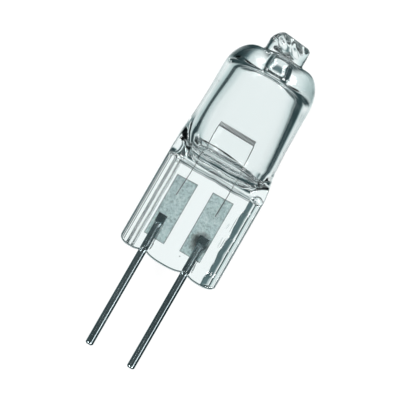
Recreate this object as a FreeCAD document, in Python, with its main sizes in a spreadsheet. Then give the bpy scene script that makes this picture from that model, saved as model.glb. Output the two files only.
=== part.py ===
import FreeCAD, Part
import math
import os
import re

import Sketcher
from FreeCAD import Placement, Rotation, Vector

# A low-voltage halogen capsule bulb with two pins, in millimetres.
# It is built upright: the pin tips are at Z 0, the glass stands above them, X runs across
# the two pins and the front, seen in a front view, faces -Y. The midpoint between the pins
# is at X 0 and Y 0. At the end every piece is laid down on the bulb's side, as the loose
# bulb rests on a table: on the underside of its glass and on its two pin tips.

DRIVING_SIZES = {
    # two solid pins, each with one end stamped flat where it is welded to its foil
    "pin_spacing": 4.0,
    "pin_diameter": 0.7,
    "pin_reach": 8.8,  # from the pin tips up to the lowest glass
    "pin_seat": 3.87,  # from the lowest glass up to the pins' inner ends
    "pin_tip_chamfer": 0.12,
    "pin_taper": 0.02,  # how much thinner in radius the sealed part gets towards its foil
    "pin_flat_width": 0.8,
    "pin_flat_depth": 0.5,
    "pin_flat_length": 0.6,
    # the pinch: a pressed plate between two thicker, round-backed beads
    "pinch_offset": 0.28,  # its middle lies this far to +X of the pins' middle
    "pinch_overhang": 0.85,  # how much wider it is pressed than the bulb
    "pinch_height": 8.5,
    "bead_depth": 3.9,
    "bead_round": 1.1,  # radius of the beads' outer corners
    "plate_width": 6.4,
    "plate_depth": 2.0,
    "bead_slope": 0.4,  # width of the slope between a bead and the plate
    "lobe_drop": 0.65,  # how far the lobes of the lower edge hang below its notches
    # the neck: the jaws' scoop runs out of the flat into the round bulb
    "press_radius": 1.3,
    "press_angle": 65.0,
    "bead_rise": 1.6,  # how far the beads run up beside the neck, past the flat
    "bead_run_out": 2.4,  # over this height they then taper into the bulb
    # the bulb, with the sealed stub of the exhaust tube on top
    "bulb_offset": 0.15,  # the bulb's axis lies this far to +X of the pins' middle
    "bulb_diameter": 8.25,
    "bulb_height": 20.15,  # from the lowest glass up to the bulb's flat top
    "shoulder_radius": 2.0,
    "stub_diameter": 3.56,
    "stub_height": 2.0,
    "stub_round": 0.6,
    # the hollow inside
    "wall": 0.8,
    "top_wall": 1.7,
    "cavity_corner": 0.8,
    "cavity_rise": 0.5,  # from the top of the flat up to the hollow's floor
    "cavity_floor_depth": 0.3,
    "cavity_floor_corner": 1.0,
    "bore_diameter": 1.75,
    "bore_depth": 1.65,
    "bore_flare": 0.5,
    # two foils, sealed gas-tight in the pinch behind the pins and the wire's legs
    "foil_spacing": 3.34,
    "foil_width": 1.97,
    "foil_thickness": 0.03,
    "foil_start": 1.68,  # from the lowest glass up to the foils' lower ends
    "foil_length": 5.8,
    # the filament: one wire, wound across the bulb and bent down into two legs
    "wire_diameter": 0.14,
    "coil_diameter": 0.5,
    "coil_length": 3.45,
    "coil_turns": 12,
    "coil_rise": 12.8,  # from the lowest glass up to the coil's axis
    "leg_spacing": 3.76,
    "leg_overlap": 1.7,  # how far each leg lies along its foil
    # the glass shrinks a little less than what it holds
    "seal_gap": 0.02,
}

WIRE_SIDES = 5  # the fine wire's section is a polygon with this many sides
CUT_MARGIN = 1.0  # how far a cutting solid runs past the glass that it cuts

FRONT_VIEW = Placement(Vector(), Rotation(Vector(1, 0, 0), 90))
SIDE_VIEW = Placement(Vector(), Rotation(Vector(1, 1, 1), 120))

doc = FreeCAD.newDocument("capsule_bulb")
sheet = doc.addObject("Spreadsheet::Sheet", "Sizes")


def fill_sheet():
    """One row for each driving size: its name, and its value under that name."""
    for row, (name, value) in enumerate(DRIVING_SIZES.items(), start=1):
        sheet.set(f"A{row}", name)
        sheet.set(f"B{row}", str(value))
        sheet.setAlias(f"B{row}", name)
    doc.recompute()


def bound(text):
    """The formula with each size's name pointed at its cell."""
    return re.sub(
        r"[a-z_]+",
        lambda word: f"Sizes.{word[0]}" if word[0] in DRIVING_SIZES else word[0],
        text,
    )


def size(text):
    """The formula's value now, in millimetres."""
    return float(sheet.evalExpression(bound(text)))


def bind(feature, **formulas):
    """Tie the named properties of a feature to formulas of the driving sizes."""
    for name, text in formulas.items():
        feature.setExpression(name.replace("__", "."), bound(text))
    return feature


PINCH_TOP = "(pin_reach + pinch_height)"
PINCH_WIDTH = "(bulb_diameter + pinch_overhang)"
SCOOP_OUT = "(press_radius * (1 - cos(press_angle)))"
SCOOP_RISE = "(press_radius * sin(press_angle))"
NECK_TOP = (
    f"({PINCH_TOP} + {SCOOP_RISE}"
    f" + (bulb_diameter / 2 - plate_depth / 2 - {SCOOP_OUT}) / tan(press_angle))"
)
BULB_TOP = "(pin_reach + bulb_height)"
CAVITY_FLOOR = "(pin_reach + pinch_height + cavity_rise)"
CAVITY_TOP = "(pin_reach + bulb_height - top_wall)"
PIN_END = "(pin_reach + pin_seat)"
FOIL_START = "(pin_reach + foil_start)"
LEG_END = "(pin_reach + foil_start + foil_length - leg_overlap)"
LEG_TOP = f"({CAVITY_FLOOR} + {SCOOP_RISE})"
LEG_DEPTH = "(pin_diameter / 2 - wire_diameter / 2)"
COIL_AXIS = "(pin_reach + coil_rise)"


def arc_through(start, end, radius):
    """The shorter arc from start to end, bulging to the left of that way if radius is over 0."""
    chord = end - start
    left = Vector(-chord.y, chord.x, 0).normalize()
    middle = (start + end) / 2
    half = chord.Length / 2
    bulge = abs(radius) - math.sqrt(radius**2 - half**2)
    return Part.ArcOfCircle(start, middle + left * math.copysign(bulge, radius), end)


def outline(sketch, corners, arcs=None):
    """A closed outline through the corners, each a pair of formulas. arcs gives a radius to
    the edge that leaves a corner, by the corner's place in the list."""
    arcs = arcs or {}
    points = [Vector(size(x), size(y), 0) for x, y in corners]
    ends = []
    for place, start in enumerate(points):
        end = points[(place + 1) % len(points)]
        if place not in arcs:
            edge = sketch.addGeometry(Part.LineSegment(start, end))
            ends.append((edge, 1, 2))
            continue
        bend = size(arcs[place])
        edge = sketch.addGeometry(arc_through(start, end, bend))
        forward = sketch.getPoint(edge, 1).isEqual(start, 1e-6)
        ends.append((edge, 1, 2) if forward else (edge, 2, 1))
        radius = sketch.addConstraint(Sketcher.Constraint("Radius", edge, abs(bend)))
        sketch.setExpression(f"Constraints[{radius}]", bound(f"abs({arcs[place]})"))
    for place, (edge, first, last) in enumerate(ends):
        following, its_first, _ = ends[(place + 1) % len(ends)]
        sketch.addConstraint(
            Sketcher.Constraint("Coincident", edge, last, following, its_first)
        )
        for direction, text, value in (
            ("DistanceX", corners[place][0], points[place].x),
            ("DistanceY", corners[place][1], points[place].y),
        ):
            fixed = sketch.addConstraint(
                Sketcher.Constraint(direction, -1, 1, edge, first, value)
            )
            sketch.setExpression(f"Constraints[{fixed}]", bound(text))
    return sketch


def drawing(name, view, corners, arcs=None):
    """A sketch of its own in the front or side view."""
    sketch = doc.addObject("Sketcher::SketchObject", name)
    sketch.Placement = view
    return outline(sketch, corners, arcs)


def extrusion(name, base, direction, both_ways=None, one_way=None):
    """A solid prism of a drawing."""
    prism = doc.addObject("Part::Extrusion", name)
    prism.Base = base
    prism.DirMode = "Custom"
    prism.Dir = direction
    prism.Solid = True
    if both_ways:
        bind(prism, LengthFwd=both_ways, LengthRev=both_ways)
    else:
        bind(prism, LengthFwd=one_way)
    return prism


def turned(name, profile, axis_x):
    """A drawing turned all the way round an upright axis at axis_x."""
    solid = doc.addObject("Part::Revolution", name)
    solid.Source = profile
    solid.Axis = Vector(0, 0, 1)
    bind(solid, Base__x=axis_x)
    solid.Angle = 360
    solid.Solid = True
    return solid


def fused(name, shapes):
    union = doc.addObject("Part::MultiFuse", name)
    union.Shapes = shapes
    return union


def bulb_outside():
    """The bulb's tube, its rounded shoulder and the exhaust stub on top, turned. The tube
    runs down to the pinch, where the jaws take most of it away."""
    radius = "bulb_offset + bulb_diameter / 2"
    stub = "bulb_offset + stub_diameter / 2"
    stub_top = f"{BULB_TOP} + stub_height"
    corners = [
        ("bulb_offset", PINCH_TOP),
        (radius, PINCH_TOP),
        (radius, f"{BULB_TOP} - shoulder_radius"),
        (f"{radius} - shoulder_radius", BULB_TOP),
        (stub, BULB_TOP),
        (stub, f"{stub_top} - stub_round"),
        (f"{stub} - stub_round", stub_top),
        ("bulb_offset", stub_top),
    ]
    profile = drawing(
        "bulb_profile", FRONT_VIEW, corners, {2: "-shoulder_radius", 5: "-stub_round"}
    )
    return turned("bulb_outside", profile, "bulb_offset")


def jaw(name, side, face, top, width=None):
    """What a jaw on one side takes away: all beyond its flat face up to top, then a scoop
    that turns outwards and runs straight on at the press angle. A jaw that is given a
    width has bevelled sides, which leave a slope on the beads beside it."""
    outside = f"bulb_diameter / 2 + {CUT_MARGIN}"
    bend_out = f"{face} + {SCOOP_OUT}"
    bend_top = f"{top} + {SCOOP_RISE}"
    low = f"pin_reach - {CUT_MARGIN}"
    corners = [
        (f"{side} * ({face})", low),
        (f"{side} * ({face})", top),
        (f"{side} * ({bend_out})", bend_top),
        (
            f"{side} * ({outside})",
            f"{bend_top} + (({outside}) - ({bend_out})) / tan(press_angle)",
        ),
        (f"{side} * ({outside})", low),
    ]
    profile = drawing(
        f"{name}_profile", SIDE_VIEW, corners, {1: f"{side} * press_radius"}
    )
    half_width = f"{width} / 2" if width else PINCH_WIDTH
    block = extrusion(f"{name}_block", profile, Vector(1, 0, 0), both_ways=half_width)
    bind(block, Placement__Base__x="pinch_offset")
    if not width:
        return block
    doc.recompute()
    bevelled = doc.addObject("Part::Chamfer", name)
    bevelled.Base = block
    slope = size("bead_slope")
    bevelled.Edges = [
        (number, slope, slope)
        for number, edge in enumerate(block.Shape.Edges, start=1)
        if edge.BoundBox.XLength < slope
        and edge.BoundBox.ZLength > slope
        and abs(edge.CenterOfMass.y) < size(outside) - CUT_MARGIN / 2
    ]
    return bevelled


def beads():
    """A round-cornered slab as deep as the beads; above the pinch its sides taper into the bulb."""
    half = f"{PINCH_WIDTH} / 2"
    left = f"pinch_offset - {half}"
    right = f"pinch_offset + {half}"
    top = f"{PINCH_TOP} + bead_rise"
    inner_left = "bulb_offset - bulb_diameter / 2"
    inner_right = "bulb_offset + bulb_diameter / 2"
    far_left = f"2 * ({left}) - ({inner_left})"
    far_right = f"2 * ({right}) - ({inner_right})"
    front = drawing(
        "bead_front",
        FRONT_VIEW,
        [
            (far_left, "pin_reach"),
            (far_right, "pin_reach"),
            (far_right, f"{top} - bead_run_out"),
            (inner_right, f"{top} + bead_run_out"),
            (inner_left, f"{top} + bead_run_out"),
            (far_left, f"{top} - bead_run_out"),
        ],
    )
    face = "bead_depth / 2"
    face_end = f"({half} - bead_round)"
    side_end = f"({face} - bead_round)"
    section = drawing(
        "bead_section",
        Placement(),
        [
            (f"pinch_offset - {face_end}", f"-{face}"),
            (f"pinch_offset + {face_end}", f"-{face}"),
            (f"pinch_offset + {half}", f"-{side_end}"),
            (f"pinch_offset + {half}", side_end),
            (f"pinch_offset + {face_end}", face),
            (f"pinch_offset - {face_end}", face),
            (f"pinch_offset - {half}", side_end),
            (f"pinch_offset - {half}", f"-{side_end}"),
        ],
        dict.fromkeys((1, 3, 5, 7), "-bead_round"),
    )
    slab = doc.addObject("Part::Common", "beads")
    slab.Base = extrusion(
        "bead_slab", front, Vector(0, 1, 0), both_ways="bead_depth"
    )
    slab.Tool = extrusion(
        "bead_column",
        section,
        Vector(0, 0, 1),
        one_way=f"{top} + bead_run_out + {CUT_MARGIN}",
    )
    return slab


def lower_edge_cutter():
    """What lies below the pinch's lower edge, with a lobe beside and between the pins."""
    left = f"pinch_offset - {PINCH_WIDTH} / 2"
    right = f"pinch_offset + {PINCH_WIDTH} / 2"
    notch = "pin_reach + lobe_drop"
    low = f"pin_reach - {CUT_MARGIN}"
    corners = [
        (left, notch),
        ("-pin_spacing / 2", notch),
        ("pin_spacing / 2", notch),
        (right, notch),
        (f"{right} + {CUT_MARGIN}", notch),
        (f"{right} + {CUT_MARGIN}", low),
        (f"{left} - {CUT_MARGIN}", low),
        (f"{left} - {CUT_MARGIN}", notch),
    ]
    chords = (
        f"-pin_spacing / 2 - ({left})",
        "pin_spacing",
        f"{right} - pin_spacing / 2",
    )
    arcs = {
        place: f"-((({chord}) / 2)^2 + lobe_drop^2) / (2 * lobe_drop)"
        for place, chord in enumerate(chords)
    }
    profile = drawing("lower_edge", FRONT_VIEW, corners, arcs)
    return extrusion(
        "lower_edge_cutter", profile, Vector(0, 1, 0), both_ways="bead_depth"
    )


def cavity():
    """The hollow: round in the bulb, squeezed to a slit at its floor, with the stub's bore."""
    radius = "bulb_offset + bulb_diameter / 2 - wall"
    bore = "bulb_offset + bore_diameter / 2"
    corners = [
        ("bulb_offset", CAVITY_FLOOR),
        (f"{radius} - cavity_floor_corner", CAVITY_FLOOR),
        (radius, f"{CAVITY_FLOOR} + cavity_floor_corner"),
        (radius, f"{CAVITY_TOP} - cavity_corner"),
        (f"{radius} - cavity_corner", CAVITY_TOP),
        (f"{bore} + bore_flare", CAVITY_TOP),
        (bore, f"{CAVITY_TOP} + bore_flare"),
        (bore, f"{CAVITY_TOP} + bore_depth"),
        ("bulb_offset", f"{CAVITY_TOP} + bore_depth"),
    ]
    arcs = {1: "-cavity_floor_corner", 3: "-cavity_corner"}
    hollow = turned(
        "cavity_round",
        drawing("cavity_profile", FRONT_VIEW, corners, arcs),
        "bulb_offset",
    )
    squeezed = doc.addObject("Part::Cut", "cavity")
    squeezed.Base = hollow
    face = "cavity_floor_depth / 2"
    squeezed.Tool = fused(
        "cavity_walls",
        [
            jaw("cavity_front", -1, face, CAVITY_FLOOR),
            jaw("cavity_back", 1, face, CAVITY_FLOOR),
        ],
    )
    return squeezed


def block(name, width, depth, height, x, y, z):
    """A box centred on x, from y and z on, all given as formulas."""
    box = doc.addObject("Part::Box", name)
    bind(box, Length=width, Width=depth, Height=height)
    bind(box, Placement__Base__x=f"{x} - ({width}) / 2")
    bind(box, Placement__Base__y=y, Placement__Base__z=z)
    return box


def rod(name, radius, height, x, y, z):
    """An upright cylinder that starts at z, all given as formulas."""
    cylinder = doc.addObject("Part::Cylinder", name)
    bind(cylinder, Radius=radius, Height=height)
    bind(cylinder, Placement__Base__x=x, Placement__Base__y=y, Placement__Base__z=z)
    return cylinder


def seal_pockets(side, name):
    """The room that one pin, its foil and its leg of the wire take up in the pinch."""
    pin_x = f"{side} * pin_spacing / 2"
    pin_room = rod(
        f"{name}_pin_room",
        "pin_diameter / 2 + seal_gap",
        f"pin_seat - pin_flat_length + {CUT_MARGIN}",
        pin_x,
        "0",
        f"pin_reach - {CUT_MARGIN}",
    )
    flat_room = block(
        f"{name}_flat_room",
        "pin_flat_width + 2 * seal_gap",
        "pin_flat_depth + 2 * seal_gap",
        "pin_flat_length + 2 * seal_gap",
        pin_x,
        "pin_diameter / 2 - pin_flat_depth - seal_gap",
        f"{PIN_END} - pin_flat_length - seal_gap",
    )
    foil_room = block(
        f"{name}_foil_room",
        "foil_width + 2 * seal_gap",
        "foil_thickness + 2 * seal_gap",
        "foil_length + 2 * seal_gap",
        f"{side} * foil_spacing / 2",
        "pin_diameter / 2 - seal_gap",
        f"{FOIL_START} - seal_gap",
    )
    leg_room = rod(
        f"{name}_leg_room",
        "wire_diameter / 2 + seal_gap",
        f"{LEG_TOP} - {LEG_END} + seal_gap",
        f"{side} * leg_spacing / 2",
        LEG_DEPTH,
        f"{LEG_END} - seal_gap",
    )
    return [pin_room, flat_room, foil_room, leg_room]


def pressed_tube():
    """The bulb's tube with its lower end squeezed flat, as deep as the beads."""
    squeezed = doc.addObject("Part::Cut", "pressed_tube")
    squeezed.Base = bulb_outside()
    face = "bead_depth / 2"
    squeezed.Tool = fused(
        "outer_jaws",
        [
            jaw("outer_jaw_front", -1, face, PINCH_TOP),
            jaw("outer_jaw_back", 1, face, PINCH_TOP),
        ],
    )
    return squeezed


def envelope():
    """The quartz glass: bulb, neck, pinch and exhaust stub, one blown and pressed piece."""
    face = "plate_depth / 2"
    cutters = [
        cavity(),
        jaw("plate_jaw_front", -1, face, PINCH_TOP, "plate_width"),
        jaw("plate_jaw_back", 1, face, PINCH_TOP, "plate_width"),
        lower_edge_cutter(),
        *seal_pockets(-1, "left"),
        *seal_pockets(1, "right"),
    ]
    shaped = doc.addObject("Part::Cut", "envelope")
    shaped.Base = fused("glass_outside", [pressed_tube(), beads()])
    shaped.Tool = fused("glass_cutters", cutters)
    return shaped


def body_sketch(body, name, plane, offset="0"):
    """An empty sketch on one of the body's own planes, moved along the plane's normal."""
    sketch = body.newObject("Sketcher::SketchObject", name)
    support = next(item for item in body.Origin.OriginFeatures if item.Role == plane)
    sketch.AttachmentSupport = [(support, "")]
    sketch.MapMode = "FlatFace"
    bind(sketch, AttachmentOffset__Base__z=offset)
    return sketch


def pin(name):
    """A round pin on its own axis, chamfered at the tip, a little thinner towards its inner
    end and stamped flat there."""
    body = doc.addObject("PartDesign::Body", name)
    radius = "pin_diameter / 2"
    flat_start = f"{PIN_END} - pin_flat_length"
    profile = outline(
        body_sketch(body, f"{name}_profile", "XZ_Plane"),
        [
            ("0", "0"),
            (f"{radius} - pin_tip_chamfer", "0"),
            (radius, "pin_tip_chamfer"),
            (radius, "pin_reach"),
            (f"{radius} - pin_taper", flat_start),
            ("0", flat_start),
        ],
    )
    shank = body.newObject("PartDesign::Revolution", f"{name}_shank")
    shank.Profile = profile
    shank.ReferenceAxis = (profile, ["V_Axis"])
    shank.Angle = 360
    half_width = "pin_flat_width / 2"
    front = f"{radius} - pin_flat_depth"
    flat = body.newObject("PartDesign::Pad", f"{name}_flat")
    flat.Profile = outline(
        body_sketch(body, f"{name}_flat_section", "XY_Plane", flat_start),
        [
            (f"-({half_width})", front),
            (half_width, front),
            (half_width, radius),
            (f"-({half_width})", radius),
        ],
    )
    bind(flat, Length="pin_flat_length")
    body.Tip = flat
    return body


def foil(name):
    """A thin strip of foil with one lower corner at its own origin."""
    strip = doc.addObject("Part::Box", name)
    return bind(
        strip, Length="foil_width", Width="foil_thickness", Height="foil_length"
    )


def bend(start, end, start_way, end_way):
    """A smooth stretch of wire from start to end that leaves and arrives in given ways."""
    curve = Part.BSplineCurve()
    curve.interpolate(
        Points=[start, end], InitialTangent=start_way, FinalTangent=end_way
    )
    return curve.toShape()


def wire_route():
    """The wire's middle line: up the left leg, round every turn and down the right leg.
    Half a turn more than the whole turns lets both legs leave the coil downwards."""
    axis = size(COIL_AXIS)
    radius = size("(coil_diameter - wire_diameter) / 2")
    length = size("coil_length - wire_diameter")
    turns = size("coil_turns + 0.5")
    coil = Part.makeHelix(length / turns, length, radius)
    coil.rotate(Vector(), Vector(0, 0, 1), 90)
    coil.rotate(Vector(), Vector(0, 1, 0), 90)
    coil.translate(Vector(-length / 2, 0, axis))
    coil_start = Vector(-length / 2, radius, axis)
    coil_end = Vector(length / 2, -radius, axis)
    lead = length / (2 * math.pi * turns)
    foot = Vector(size("leg_spacing / 2"), size(LEG_DEPTH), size(LEG_END))
    entry = Vector(foot.x, foot.y, size(LEG_TOP))
    left_foot = Vector(-foot.x, foot.y, foot.z)
    left_entry = Vector(-entry.x, entry.y, entry.z)
    up = Vector(0, 0, 1)
    return Part.Wire(
        [
            Part.LineSegment(left_foot, left_entry).toShape(),
            bend(left_entry, coil_start, up, Vector(lead, 0, radius)),
            *coil.Edges,
            bend(coil_end, entry, Vector(lead, 0, -radius), -up),
            Part.LineSegment(entry, foot).toShape(),
        ]
    )


def filament():
    """One wire, wound into a coil across the bulb, with a leg bent down at each end."""
    route = wire_route()
    foot = route.Vertexes[0].Point
    spoke = Vector(size("wire_diameter / 2"), 0, 0)
    section = Part.makePolygon(
        [
            foot + Rotation(Vector(0, 0, 1), 360 * (corner + 0.5) / WIRE_SIDES) * spoke
            for corner in range(WIRE_SIDES + 1)
        ]
    )
    wire = doc.addObject("Part::Feature", "filament")
    wire.Shape = route.makePipeShell([section], True, False)
    return wire


def resting_tilt():
    """How far the bulb's axis dips towards the pin tips when it lies on its side."""
    drop = size("bulb_diameter / 2 - pin_diameter / 2")
    run = size(f"{NECK_TOP} - pin_tip_chamfer")
    return math.degrees(math.atan2(drop, run))


def lay_down(places):
    """Lay the upright pieces on the bulb's side, tip towards +Y and front upwards, with the
    lowest point at Z 0 and the middle of the whole over the origin."""
    lying = Placement(Vector(), Rotation(Vector(1, 0, 0), resting_tilt() - 90))
    box = FreeCAD.BoundBox()
    for piece, place in places.items():
        shape = piece.Shape.copy()
        shape.Placement = lying.multiply(place)
        box.add(shape.optimalBoundingBox(False))
    lying.Base = Vector(-box.Center.x, -box.Center.y, -box.ZMin)
    for piece, place in places.items():
        piece.Placement = lying.multiply(place)


def check_document():
    for item in doc.Objects:
        if "Invalid" in item.State or "Error" in item.State:
            raise RuntimeError(f"{item.Label} failed: {item.State}")


def write(pieces):
    os.makedirs("parts", exist_ok=True)
    for piece in pieces:
        shape = piece.Shape
        if shape.isNull() or not shape.isValid() or len(shape.Solids) != 1:
            raise RuntimeError(f"{piece.Label} is not one valid solid")
        shape.exportStep(f"parts/{piece.Label}.step")
        print(f"{piece.Label}: {shape.Volume:.3f} mm3")


fill_sheet()
pin_place = Vector(size("pin_spacing / 2"), 0, 0)
foil_corner = Vector(
    size("(foil_spacing - foil_width) / 2"), size("pin_diameter / 2"), size(FOIL_START)
)
foil_mirror = Vector(-size("foil_spacing"), 0, 0)
places = {
    envelope(): Placement(),
    filament(): Placement(),
    pin("left_pin"): Placement(-pin_place, Rotation()),
    pin("right_pin"): Placement(pin_place, Rotation()),
    foil("left_foil"): Placement(foil_corner + foil_mirror, Rotation()),
    foil("right_foil"): Placement(foil_corner, Rotation()),
}
doc.recompute()
check_document()
lay_down(places)
doc.recompute()
check_document()
write(places)
print(f"lies tilted by {resting_tilt():.2f} degrees")
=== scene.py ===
import math

import bmesh
import bpy
import numpy as np
from mathutils import Matrix, Vector


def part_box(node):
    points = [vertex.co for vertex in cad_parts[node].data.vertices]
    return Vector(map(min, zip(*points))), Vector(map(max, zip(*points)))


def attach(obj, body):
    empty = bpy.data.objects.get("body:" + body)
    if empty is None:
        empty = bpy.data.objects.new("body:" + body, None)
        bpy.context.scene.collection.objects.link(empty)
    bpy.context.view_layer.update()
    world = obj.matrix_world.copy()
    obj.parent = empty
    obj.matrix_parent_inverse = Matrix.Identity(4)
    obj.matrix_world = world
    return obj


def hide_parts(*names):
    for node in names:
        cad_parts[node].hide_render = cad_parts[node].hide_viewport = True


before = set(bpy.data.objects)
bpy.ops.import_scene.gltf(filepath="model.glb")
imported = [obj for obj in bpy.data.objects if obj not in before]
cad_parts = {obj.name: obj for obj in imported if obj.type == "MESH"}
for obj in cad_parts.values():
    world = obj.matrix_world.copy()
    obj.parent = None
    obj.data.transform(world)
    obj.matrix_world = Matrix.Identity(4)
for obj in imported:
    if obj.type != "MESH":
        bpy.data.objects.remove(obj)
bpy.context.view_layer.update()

# The frame
# Sizes are in millimetres and "upright": pin tips at Z 0, front towards -Y, as the part is
# drawn before it is laid down on the bulb's side. lay() takes such points to the row frame.
MM_PER_M = 1000
PIN_R = 0.35
TIP_CHAMFER = 0.12
BULB_R = 4.125
BULB_X = 0.15  # the bulb's axis, from the middle between the pins
PINCH_X = 0.28  # the pinch's middle, from the same place: it comes to lie at X 0
NECK_TOP = 19.585  # height of the edge that the bulb lies on
TILT = math.atan2(BULB_R - PIN_R, NECK_TOP - TIP_CHAMFER)
SIN = math.sin(TILT)
COS = math.cos(TILT)
PIN_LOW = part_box("left_pin")[0] * MM_PER_M
SHIFT_Y = PIN_LOW.y + (PIN_R - TIP_CHAMFER) * SIN
SHIFT_Z = PIN_R * COS - TIP_CHAMFER * SIN


def lay(points):
    """Upright millimetres to metres in the row frame."""
    x, y, z = np.asarray(points, float).T
    laid = np.column_stack(
        (x - PINCH_X, SHIFT_Y + y * SIN + z * COS, SHIFT_Z - y * COS + z * SIN)
    )
    return laid / MM_PER_M


def add_mesh(name, points, faces, material):
    mesh = bpy.data.meshes.new(name)
    mesh.from_pydata([tuple(p) for p in lay(points)], [], faces)
    mesh.update()
    mesh.materials.append(material)
    mesh.shade_smooth()
    piece = bpy.data.objects.new(name, mesh)
    bpy.context.scene.collection.objects.link(piece)
    return piece


def take_place(piece, node):
    """The piece is shown instead of a node's solid."""
    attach(piece, "root")
    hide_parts(node)


# Node helpers
class Nodes:
    """A few short calls for building a node tree."""

    def __init__(self, tree):
        self.tree = tree
        tree.nodes.clear()

    def add(self, kind, **values):
        node = self.tree.nodes.new(kind)
        for key, value in values.items():
            setattr(node, key, value)
        return node

    def link(self, source, target):
        self.tree.links.new(source, target)

    def math(self, operation, a, b=None, clamp=False):
        node = self.add("ShaderNodeMath", operation=operation, use_clamp=clamp)
        for place, value in enumerate((a, b)):
            if value is None:
                continue
            if isinstance(value, (int, float)):
                node.inputs[place].default_value = value
            else:
                self.link(value, node.inputs[place])
        return node.outputs[0]

    def mix(self, factor, a, b, blend="MIX"):
        node = self.add("ShaderNodeMix", data_type="RGBA", blend_type=blend)
        if isinstance(factor, (int, float)):
            node.inputs["Factor"].default_value = factor
        else:
            self.link(factor, node.inputs["Factor"])
        self.link(a, node.inputs["A"])
        self.link(b, node.inputs["B"])
        return node.outputs["Result"]

    def mix_shader(self, factor, first, second):
        node = self.add("ShaderNodeMixShader")
        if isinstance(factor, (int, float)):
            node.inputs[0].default_value = factor
        else:
            self.link(factor, node.inputs[0])
        self.link(first, node.inputs[1])
        self.link(second, node.inputs[2])
        return node.outputs[0]

    def dot(self, vector, way):
        node = self.add("ShaderNodeVectorMath", operation="DOT_PRODUCT")
        node.inputs[1].default_value = way
        self.link(vector, node.inputs[0])
        return node.outputs["Value"]

    def ramp(self, value, stops):
        node = self.add("ShaderNodeValToRGB")
        marks = node.color_ramp.elements
        while len(marks) < len(stops):
            marks.new(1.0)
        for mark, (place, colour) in zip(marks, stops):
            mark.position = place
            if isinstance(colour, (int, float)):
                colour = (colour,) * 3
            mark.color = (*colour, 1.0)
        self.link(value, node.inputs[0])
        return node.outputs[0]

    def noise(self, coords, scale, detail=2.0, rough=0.5, stretch=None):
        if stretch:
            mapping = self.add("ShaderNodeMapping")
            mapping.inputs["Scale"].default_value = stretch
            self.link(coords, mapping.inputs["Vector"])
            coords = mapping.outputs[0]
        node = self.add("ShaderNodeTexNoise")
        node.inputs["Scale"].default_value = scale
        node.inputs["Detail"].default_value = detail
        node.inputs["Roughness"].default_value = rough
        self.link(coords, node.inputs["Vector"])
        return node.outputs[0]

    def coords(self):
        return self.add("ShaderNodeTexCoord").outputs["Object"]

    def bump(self, height, strength, distance):
        node = self.add("ShaderNodeBump")
        node.inputs["Strength"].default_value = strength
        node.inputs["Distance"].default_value = distance
        self.link(height, node.inputs["Height"])
        return node.outputs[0]

    def bent(self, path):
        """1 for a ray that glass has bent or that glass or metal has mirrored."""
        return self.math(
            "MAXIMUM", path.outputs["Is Transmission Ray"], path.outputs["Is Glossy Ray"]
        )


# Materials
WELD_MARK = (1.85, 0.0, 12.0)  # middle of the burnt patch on the right foil
BURN_RAGGED = -0.00095  # metres that the patch's ragged edge reaches out


def new_material(name):
    material = bpy.data.materials.new(name)
    material.use_nodes = True
    return material, Nodes(material.node_tree)


def principled(nodes, **sockets):
    shader = nodes.add("ShaderNodeBsdfPrincipled")
    out = nodes.add("ShaderNodeOutputMaterial")
    nodes.link(shader.outputs[0], out.inputs[0])
    for name, value in sockets.items():
        shader.inputs[name.replace("_", " ")].default_value = value
    return shader


def glass_material():
    """Clear quartz with a faint blue-grey tone that varies a little."""
    material, nodes = new_material("quartz_glass")
    shader = principled(nodes, IOR=1.458, Transmission_Weight=1.0, Roughness=0.0)
    tone = nodes.noise(nodes.coords(), 300.0, 2.0, 0.5, (1.0, 0.25, 1.0))
    colour = nodes.ramp(tone, [(0.3, (0.972, 0.992, 0.992)), (0.7, (0.985, 0.997, 0.997))])
    nodes.link(colour, shader.inputs["Base Color"])
    return material


def foil_material():
    """Dull speckled foil, burnt round the right weld and darker at its rim."""
    material, nodes = new_material("molybdenum_foil")
    shader = principled(nodes, Metallic=0.25)
    coords = nodes.coords()
    specks = nodes.noise(coords, 3800.0, 5.0, 0.75)
    colour = nodes.ramp(
        specks,
        [(0.3, (0.24, 0.35, 0.36)), (0.5, (0.62, 0.78, 0.78)), (0.66, (0.9, 1.0, 1.0))],
    )
    weld = nodes.add("ShaderNodeVectorMath", operation="DISTANCE")
    nodes.link(coords, weld.inputs[0])
    weld.inputs[1].default_value = tuple(lay([WELD_MARK])[0])
    ragged = nodes.noise(coords, 4200.0, 4.0, 0.7, (1.0, 0.5, 1.0))
    ragged = nodes.math("MULTIPLY", ragged, BURN_RAGGED)
    reach = nodes.math("ADD", weld.outputs["Value"], ragged)
    reach = nodes.math("MULTIPLY", reach, MM_PER_M)
    burn = nodes.ramp(reach, [(0.0, 0.1), (0.2, 0.35), (0.55, 1.0)])
    colour = nodes.mix(1.0, colour, burn, "MULTIPLY")
    rim = nodes.add("ShaderNodeAttribute", attribute_name="rim").outputs["Fac"]
    colour = nodes.mix(1.0, colour, nodes.ramp(rim, [(0.0, 1.0), (1.0, 0.25)]), "MULTIPLY")
    nodes.link(colour, shader.inputs["Base Color"])
    rough = nodes.noise(coords, 2600.0, 2.0)
    nodes.link(nodes.ramp(rough, [(0.2, 0.35), (0.8, 0.6)]), shader.inputs["Roughness"])
    crease = nodes.noise(coords, 3000.0, 4.0, 0.6)
    nodes.link(nodes.bump(crease, 0.8, 0.00006), shader.inputs["Normal"])
    return material


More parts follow.
